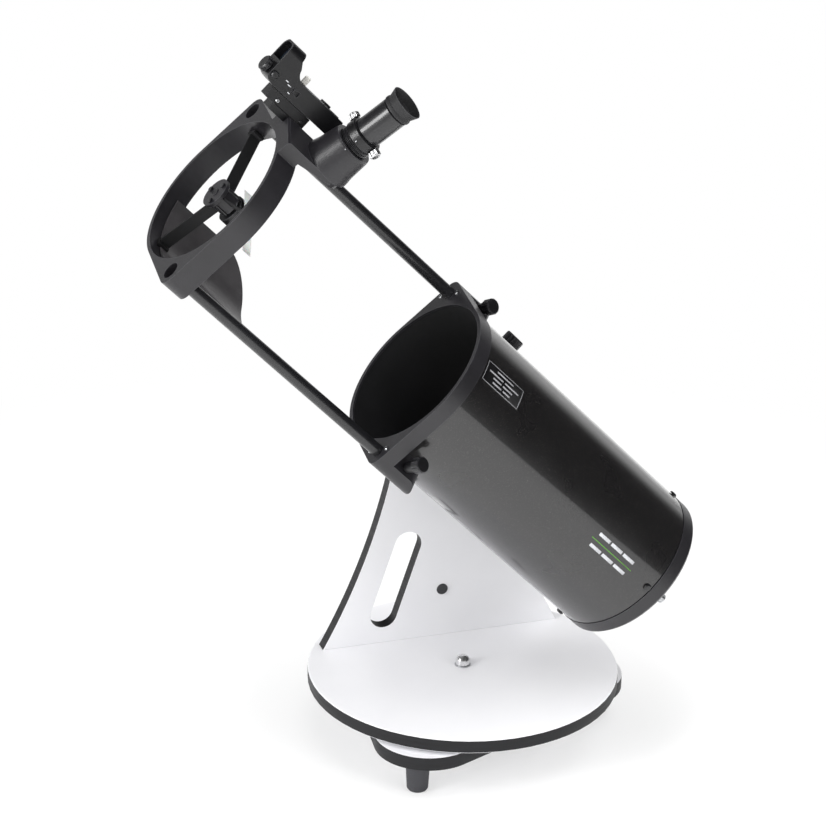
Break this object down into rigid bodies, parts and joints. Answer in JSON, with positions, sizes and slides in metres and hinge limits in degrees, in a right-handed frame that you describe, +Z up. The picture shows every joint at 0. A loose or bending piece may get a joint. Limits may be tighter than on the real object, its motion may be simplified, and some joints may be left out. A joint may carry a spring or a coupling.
{
  "type": "tabletop dobsonian telescope",
  "caption": "Collapsible Newtonian reflector on a one-armed turntable mount, with truss rods, a spider-held diagonal, a helical focuser and a reflex finder.",
  "frame": {"origin": "centre of foot 1's ground face; the azimuth axis stands at x = -0.1293 m, y = 0.0960 m", "axes": "+Z up along the azimuth axis, -Y towards the open end of the tube, +X from the side arm towards the tube"},
  "size_m": [0.355, 0.6187, 0.841],
  "materials": {
    "laminate_board": "white melamine facing with dark grey edge banding",
    "foot_rubber": "matte",
    "slide_plastic": "smooth, waxy",
    "cast_plastic": "fine-grained moulding",
    "black_plastic": "satin",
    "tube_paint": "gloss black",
    "black_metal": "satin black",
    "flat_black_metal": "flat black",
    "chrome": "polished",
    "plain_steel": "zinc plated",
    "mirror_coat": "polished coating",
    "optical_glass": "coated",
    "eyecup_rubber": "matte"
  },
  "bodies": {
    "ground": {"ground_board": "laminate_board", "foot_1": "foot_rubber", "foot_2": "foot_rubber", "foot_3": "foot_rubber", "azimuth_pad_1": "slide_plastic", "azimuth_pad_2": "slide_plastic", "azimuth_pad_3": "slide_plastic", "azimuth_washer": "plain_steel", "azimuth_bolt": "chrome", "azimuth_locknut": "plain_steel"},
    "turntable": {"turntable_disc": "laminate_board", "side_arm": "laminate_board", "arm_plug": "cast_plastic", "altitude_bearing": "slide_plastic"},
    "altitude_hand_knob": {"altitude_knob": "black_plastic"},
    "saddle": {"dovetail_saddle": "cast_plastic", "altitude_bolt": "plain_steel"},
    "saddle_clamp": {"saddle_clamp_knob": "black_plastic"},
    "tube": {"dovetail_bar": "black_metal", "main_tube": "tube_paint", "front_ring": "cast_plastic", "rear_cell": "cast_plastic", "cell_screw_1": "black_metal", "cell_screw_2": "black_metal", "cell_screw_3": "black_metal", "cell_screw_4": "black_metal", "primary_mirror": "mirror_coat", "mirror_carrier": "black_plastic"},
    "collimation_1": {"collimation_knob_1": "plain_steel"},
    "collimation_2": {"collimation_knob_2": "plain_steel"},
    "collimation_3": {"collimation_knob_3": "plain_steel"},
    "rod_lock_1": {"rod_clamp_1": "black_plastic"},
    "rod_lock_2": {"rod_clamp_2": "black_plastic"},
    "cage": {"truss_rod_1": "black_metal", "truss_rod_2": "black_metal", "upper_ring": "cast_plastic", "spider_vane_1": "flat_black_metal", "spider_vane_2": "flat_black_metal", "spider_vane_3": "flat_black_metal", "spider_hub": "cast_plastic", "secondary_holder": "black_plastic", "secondary_mirror": "mirror_coat", "light_baffle": "flat_black_metal", "finder_shoe": "black_plastic", "finder_body": "black_plastic", "finder_window": "optical_glass"},
    "diagonal_screw_1": {"secondary_screw_1": "black_metal"},
    "diagonal_screw_2": {"secondary_screw_2": "black_metal"},
    "diagonal_screw_3": {"secondary_screw_3": "black_metal"},
    "finder_switch_dial": {"finder_dial": "black_plastic"},
    "finder_aim_1": {"finder_adjuster_1": "slide_plastic"},
    "finder_aim_2": {"finder_adjuster_2": "black_plastic"},
    "finder_power_slider": {"finder_switch": "black_plastic"},
    "focuser_slide": {"focuser_barrel": "black_plastic"},
    "eyepiece_holder": {"focuser_collar": "black_plastic", "eyepiece_body": "black_metal", "eyecup": "eyecup_rubber", "eyepiece_lens": "optical_glass"},
    "eyepiece_lock_1": {"focuser_thumbscrew_1": "chrome"},
    "eyepiece_lock_2": {"focuser_thumbscrew_2": "chrome"}
  },
  "joints": [
    {"name": "turntable_turn", "type": "hinge", "parent": "ground", "child": "turntable", "pos_m": [-0.12925, 0.09599, 0.0745], "axis": [0, 0, 1], "continuous": true},
    {"name": "altitude_tilt", "type": "hinge", "parent": "turntable", "child": "saddle", "pos_m": [-0.20775, 0.09599, 0.383], "axis": [-1, 0, 0], "range_deg": [-45.5, 44.5]},
    {"name": "altitude_knob_turn", "type": "hinge", "parent": "turntable", "child": "altitude_hand_knob", "pos_m": [-0.23405, 0.09599, 0.383], "axis": [1, 0, 0], "range_deg": [0, 330]},
    {"name": "saddle_clamp_turn", "type": "hinge", "parent": "saddle", "child": "saddle_clamp", "pos_m": [-0.18375, 0.16299, 0.44323], "axis": [0, 0.7133, 0.7009], "range_deg": [0, 330]},
    {"name": "tube_slide", "type": "slide", "parent": "saddle", "child": "tube", "axis": [0, -0.7009, 0.7133], "range_m": [-0.015, 0.025]},
    {"name": "collimation_turn_1", "type": "hinge", "parent": "tube", "child": "collimation_1", "pos_m": [-0.01475, 0.28314, 0.19256], "axis": [0, -0.7009, 0.7133], "range_deg": [-180, 180]},
    {"name": "collimation_turn_2", "type": "hinge", "parent": "tube", "child": "collimation_2", "pos_m": [-0.11675, 0.24113, 0.15129], "axis": [0, -0.7009, 0.7133], "range_deg": [-180, 180]},
    {"name": "collimation_turn_3", "type": "hinge", "parent": "tube", "child": "collimation_3", "pos_m": [-0.11675, 0.32514, 0.23384], "axis": [0, -0.7009, 0.7133], "range_deg": [-180, 180]},
    {"name": "rod_lock_turn_1", "type": "hinge", "parent": "tube", "child": "rod_lock_1", "pos_m": [-0.14655, 0.09925, 0.50047], "axis": [0.7986, 0.4292, 0.4218], "range_deg": [0, 330]},
    {"name": "rod_lock_turn_2", "type": "hinge", "parent": "tube", "child": "rod_lock_2", "pos_m": [-0.01896, -0.02151, 0.38179], "axis": [0.7986, 0.4292, 0.4218], "range_deg": [0, 330]},
    {"name": "cage_slide", "type": "slide", "parent": "tube", "child": "cage", "axis": [0, -0.7009, 0.7133], "range_m": [-0.285, 0]},
    {"name": "diagonal_screw_turn_1", "type": "hinge", "parent": "cage", "child": "diagonal_screw_1", "pos_m": [-0.07826, -0.19645, 0.69569], "axis": [0, -0.7009, 0.7133], "range_deg": [-180, 180]},
    {"name": "diagonal_screw_turn_2", "type": "hinge", "parent": "cage", "child": "diagonal_screw_2", "pos_m": [-0.07583, -0.21055, 0.68183], "axis": [0, -0.7009, 0.7133], "range_deg": [-180, 180]},
    {"name": "diagonal_screw_turn_3", "type": "hinge", "parent": "cage", "child": "diagonal_screw_3", "pos_m": [-0.09417, -0.205, 0.68729], "axis": [0, -0.7009, 0.7133], "range_deg": [-180, 180]},
    {"name": "finder_dial_turn", "type": "hinge", "parent": "cage", "child": "finder_switch_dial", "pos_m": [-0.08275, -0.1489, 0.81953], "axis": [0, -0.7009, 0.7133], "range_deg": [0, 270]},
    {"name": "finder_aim_turn_1", "type": "hinge", "parent": "cage", "child": "finder_aim_1", "pos_m": [-0.08275, -0.10901, 0.79563], "axis": [0, 0.7133, 0.7009], "range_deg": [-180, 180]},
    {"name": "finder_aim_turn_2", "type": "hinge", "parent": "cage", "child": "finder_aim_2", "pos_m": [-0.06775, -0.14345, 0.81128], "axis": [1, 0, 0], "range_deg": [-180, 180]},
    {"name": "finder_switch_slide", "type": "slide", "parent": "cage", "child": "finder_power_slider", "axis": [0, 0.7009, -0.7133], "range_m": [0, 0.004]},
    {"name": "focuser_travel", "type": "slide", "parent": "cage", "child": "focuser_slide", "axis": [0.3584, 0.6659, 0.6544], "range_m": [-0.0075, 0.012]},
    {"name": "focuser_turn", "type": "hinge", "parent": "focuser_slide", "child": "eyepiece_holder", "pos_m": [-0.02667, -0.06229, 0.75252], "axis": [0.3584, 0.6659, 0.6544], "range_deg": [-270, 432]},
    {"name": "eyepiece_lock_turn_1", "type": "hinge", "parent": "eyepiece_holder", "child": "eyepiece_lock_1", "pos_m": [-0.00847, -0.05577, 0.73821], "axis": [0.7357, 0.2301, -0.6371], "range_deg": [0, 330]},
    {"name": "eyepiece_lock_turn_2", "type": "hinge", "parent": "eyepiece_holder", "child": "eyepiece_lock_2", "pos_m": [-0.04379, -0.06681, 0.76879], "axis": [-0.7357, -0.2301, 0.6371], "range_deg": [0, 330]}
  ],
  "couplings": [
    {"joint": "focuser_travel", "follows": "focuser_turn", "m_per_rad": 0.0015915}
  ]
}
